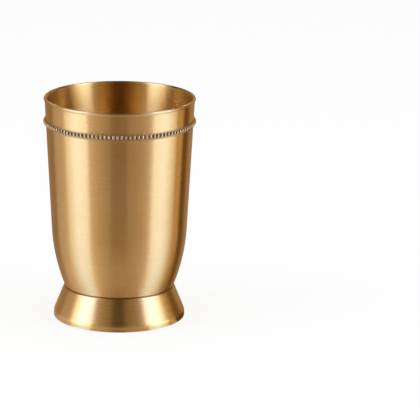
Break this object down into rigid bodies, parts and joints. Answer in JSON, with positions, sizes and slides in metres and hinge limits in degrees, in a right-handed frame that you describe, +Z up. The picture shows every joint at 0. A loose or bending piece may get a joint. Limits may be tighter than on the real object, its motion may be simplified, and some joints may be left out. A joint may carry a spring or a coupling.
{
  "type": "brass tumbler",
  "caption": "Tapered metal drinking tumbler with a rounded lip, a beaded band below it, a curved belly and a hollow flared foot.",
  "frame": {"origin": "centre of the ring that the foot stands on", "axes": "+Z up along the cup's axis, X and Y across it"},
  "size_m": [0.0774, 0.0772, 0.114],
  "materials": {
    "satin_brass": "satin, brushed round the cup",
    "bead_brass": "polished beads, dark between them",
    "foot_brass": "satin, a little brighter than the cup",
    "solder": "dull grey-gold solder"
  },
  "bodies": {
    "root": {"cup_body": "satin_brass", "bead_band": "bead_brass", "foot": "foot_brass", "foot_solder": "solder"}
  },
  "joints": []
}
